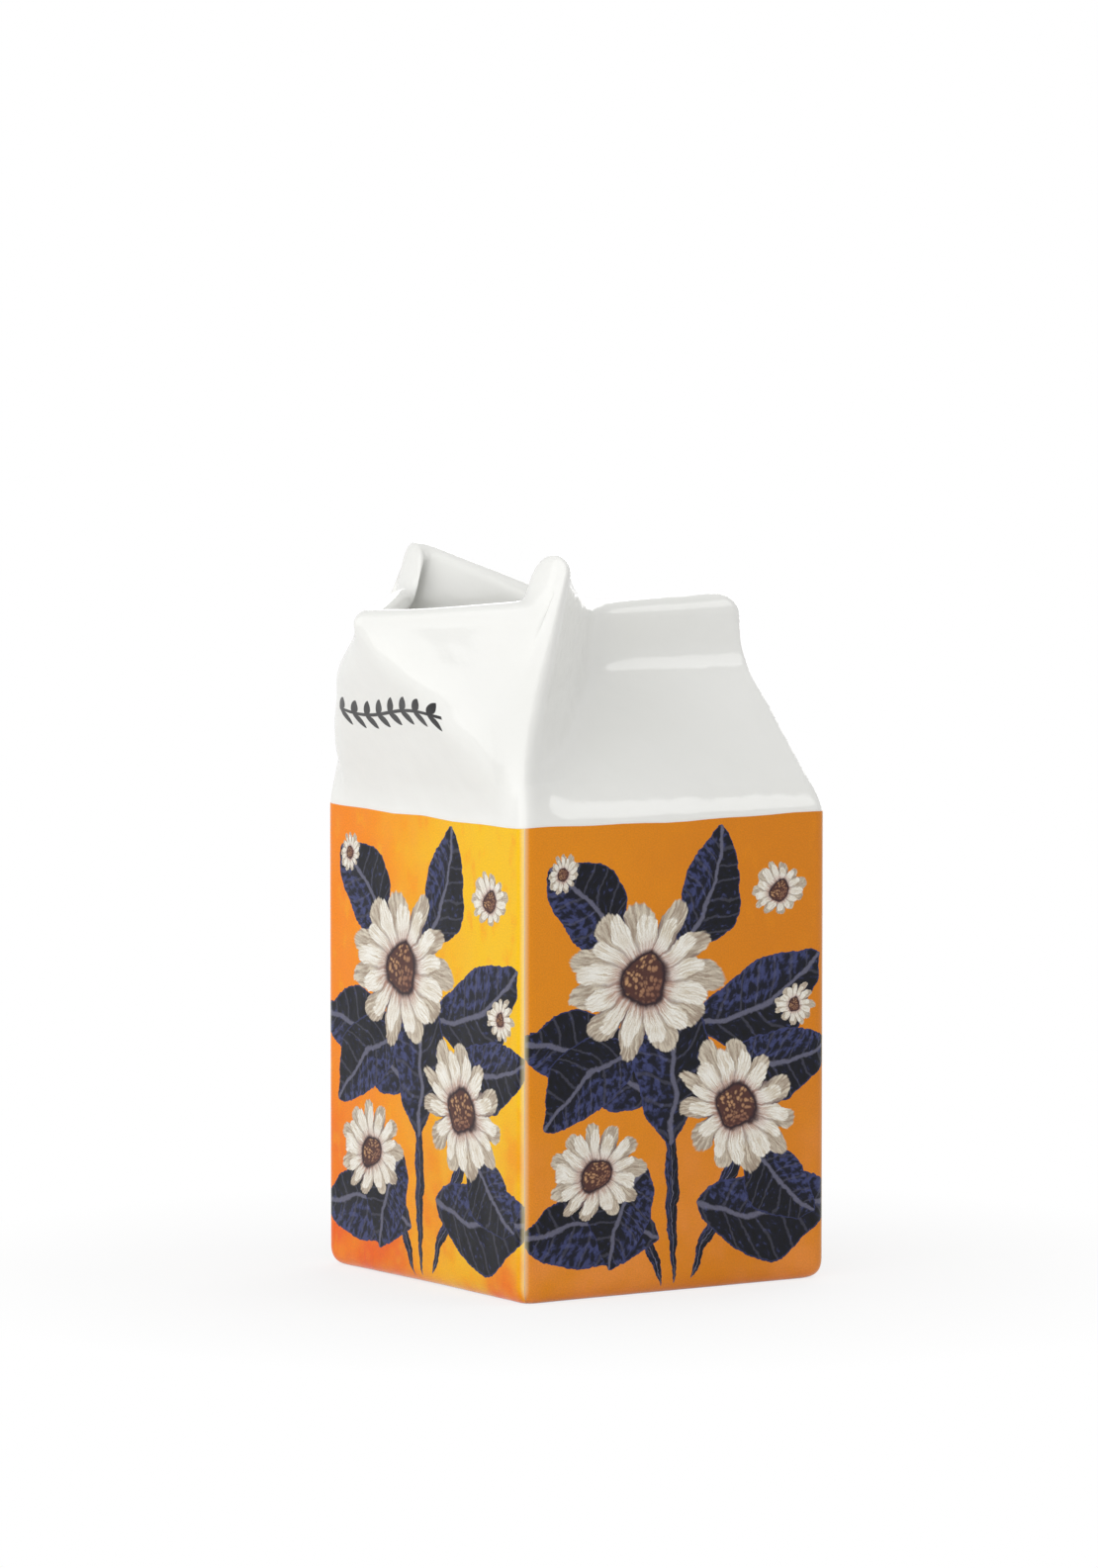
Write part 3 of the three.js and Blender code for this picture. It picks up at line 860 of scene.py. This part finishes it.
def half_film(proud):
    """Rows over the right half's walls, from the rounding at the base to the uneven top edge."""
    reach = WALL_REACH + proud
    levels = [square_level(0, -proud), square_level(reach, -proud), square_level(reach, SHOULDER_Z)]
    ease = (0, BASE_EASE, 0)
    rounding = level_rows(levels, ease, ease, (0, FILM_ARC, 0), (1, 1))[FILM_LOWEST_ROW:-1]
    shares = [step / FILM_HEIGHTS for step in range(1, FILM_HEIGHTS + 1)]
    return [*rounding, *([film_point(p, share) for p in rounding[-1]] for share in shares)]


def corner_middle(line):
    """The column in the middle of the rounded corner at a key line."""
    return sum(CORNER_STEPS[:line]) + sum(RUN_STEPS[:line]) + CORNER_STEPS[line] // 2


def wall_row(row, side):
    """One wall's share of a half row, from its left end to its right end as seen from outside."""
    ear, rear = corner_middle(EAR_LINE), corner_middle(REAR_LINE)
    if side == "front":
        share = row[: ear + 1]
        return [*(mirrored(p) for p in reversed(share[1:])), *share]
    if side == "right":
        return row[ear : rear + 1]
    if side == "back":
        share = row[rear:]
        return [*share, *(mirrored(p) for p in reversed(share[:-1]))]
    return [mirrored(p) for p in reversed(row[ear : rear + 1])]


def film_rows(proud, side):
    """Rows over one wall, standing proud of it, with seams at their ends."""
    return [seam_ends(wall_row(row, side)) for row in half_film(proud)]


def film_point(p, share):
    """A point on the wall between the rounding and the top edge, which wavers a little."""
    along = p.x + p.y
    top = FILM_TOP_Z + sum(height * math.sin(turn * along + start) for height, turn, start in FILM_WAVES)
    return point(p.x, p.y, p.z + (top - p.z) * share)


def seam_ends(row):
    """Draws the two ends of a row back from the middle of the upright edges."""
    first = row[0] + (row[1] - row[0]).normalized() * FILM_SEAM / 2
    last = row[-1] + (row[-2] - row[-1]).normalized() * FILM_SEAM / 2
    return [first, *row[1:-1], last]


def border(rows):
    """The points round a sheet of rows, from its first corner back to it."""
    right = [row[-1] for row in rows[1:-1]]
    left = [row[0] for row in rows[-2:0:-1]]
    return [*rows[0], *right, *reversed(rows[-1]), *left, rows[0][0]]


def film_mesh(side):
    """A closed film: its face, its back against the wall and the thin rim round both."""
    face, back = film_rows(FILM_GAP + FILM, side), film_rows(FILM_GAP, side)
    rim = [quad[::-1] for quad in sheet_quads([border(face), border(back)])]
    quads = [*sheet_quads(face), *(quad[::-1] for quad in sheet_quads(back)), *rim]
    mesh = merged_mesh(f"transfer_{side}", quads)
    mesh.set_sharp_from_angle(angle=FILM_SHARP)
    return mesh


def add_transfers():
    """The transfers of the four walls, in the order in which the walls follow each other."""
    for turns, side in enumerate(GROUNDS):
        add_piece(film_mesh(side), f"print_{side}", print_material(side, turns))


def face(thing, target, towards, distance):
    """Stands a camera or a lamp at a distance from its target and turns it to the target."""
    thing.location = target + towards * distance
    thing.rotation_euler = (-towards).to_track_quat("-Z", "Y").to_euler()
    bpy.context.scene.collection.objects.link(thing)


def add_camera():
    """The photograph's view: a long lens, low, from the right of the spout."""
    azimuth, elevation = math.radians(CAMERA_AZIMUTH), math.radians(CAMERA_ELEVATION)
    level = math.cos(elevation)
    towards = Vector((math.sin(azimuth) * level, -math.cos(azimuth) * level, math.sin(elevation)))
    lens = bpy.data.cameras.new("camera")
    lens.sensor_width = CAMERA_SENSOR
    lens.lens = CAMERA_LENS
    camera = bpy.data.objects.new("camera", lens)
    face(camera, CAMERA_TARGET, towards, CAMERA_DISTANCE)
    bpy.context.scene.camera = camera


def add_softboxes():
    """Square area lamps that face the middle of the jug."""
    for name, (direction, side, power) in LAMPS.items():
        lamp = bpy.data.lights.new(name, "AREA")
        lamp.size = side
        lamp.energy = power
        box = bpy.data.objects.new(name, lamp)
        face(box, LAMP_TARGET, Vector(direction).normalized(), LAMP_DISTANCE)


def seen_directly(g):
    """1 for rays from the camera and for those that gloss or glass sends on, else 0."""
    path = g.fed("ShaderNodeLightPath", {})
    straight = g.math("MAXIMUM", path["Is Camera Ray"], path["Is Glossy Ray"])
    return g.math("MAXIMUM", straight, path["Is Transmission Ray"])


def emptied(owner):
    """The graph of a world or material, without the nodes that it starts with."""
    owner.use_nodes = True
    owner.node_tree.nodes.clear()
    return Graph(owner.node_tree)


def light_world():
    """A background that is seen as plain white and gives a dimmer light all round."""
    world = bpy.data.worlds.new("studio")
    bpy.context.scene.world = world
    g = emptied(world)
    ambient = g.fed("ShaderNodeBackground", {"Color": WHITE, "Strength": AMBIENT})[0]
    white = g.fed("ShaderNodeBackground", {"Color": WHITE, "Strength": 1.0})[0]
    both = g.fed("ShaderNodeMixShader", {0: seen_directly(g), 1: ambient, 2: white})[0]
    g.fed("ShaderNodeOutputWorld", {"Surface": both})


def floor_material():
    """Matt paint that takes the jug's shadow and is seen as plain white further off."""
    material = bpy.data.materials.new("pale_floor")
    g = emptied(material)
    paint = g.fed("ShaderNodeBsdfDiffuse", {"Color": FLOOR_PAINT})[0]
    white = g.fed("ShaderNodeEmission", {"Color": WHITE, "Strength": 1.0})[0]
    away = g.vector("LENGTH", g.object_place())
    fade = {"Value": away, "From Min": FLOOR_NEAR, "From Max": FLOOR_FAR, "To Min": FLOOR_WHITE_NEAR}
    share = g.math("MULTIPLY", seen_directly(g), g.fed("ShaderNodeMapRange", fade)[0])
    both = g.fed("ShaderNodeMixShader", {0: share, 1: paint, 2: white})[0]
    g.fed("ShaderNodeOutputMaterial", {"Surface": both})
    return material


def add_floor():
    mesh = bpy.data.meshes.new("floor")
    far, near = FLOOR_REACH, -FLOOR_REACH
    mesh.from_pydata([(near, near, 0), (far, near, 0), (far, far, 0), (near, far, 0)], [], [(0, 1, 2, 3)])
    mesh.materials.append(floor_material())
    floor = bpy.data.objects.new("floor", mesh)
    bpy.context.scene.collection.objects.link(floor)


add_camera()
add_piece(casting_mesh(), "ceramic_body", glaze_material())
add_transfers()
light_world()
add_floor()
add_softboxes()
bpy.context.scene.view_settings.view_transform = "Standard"
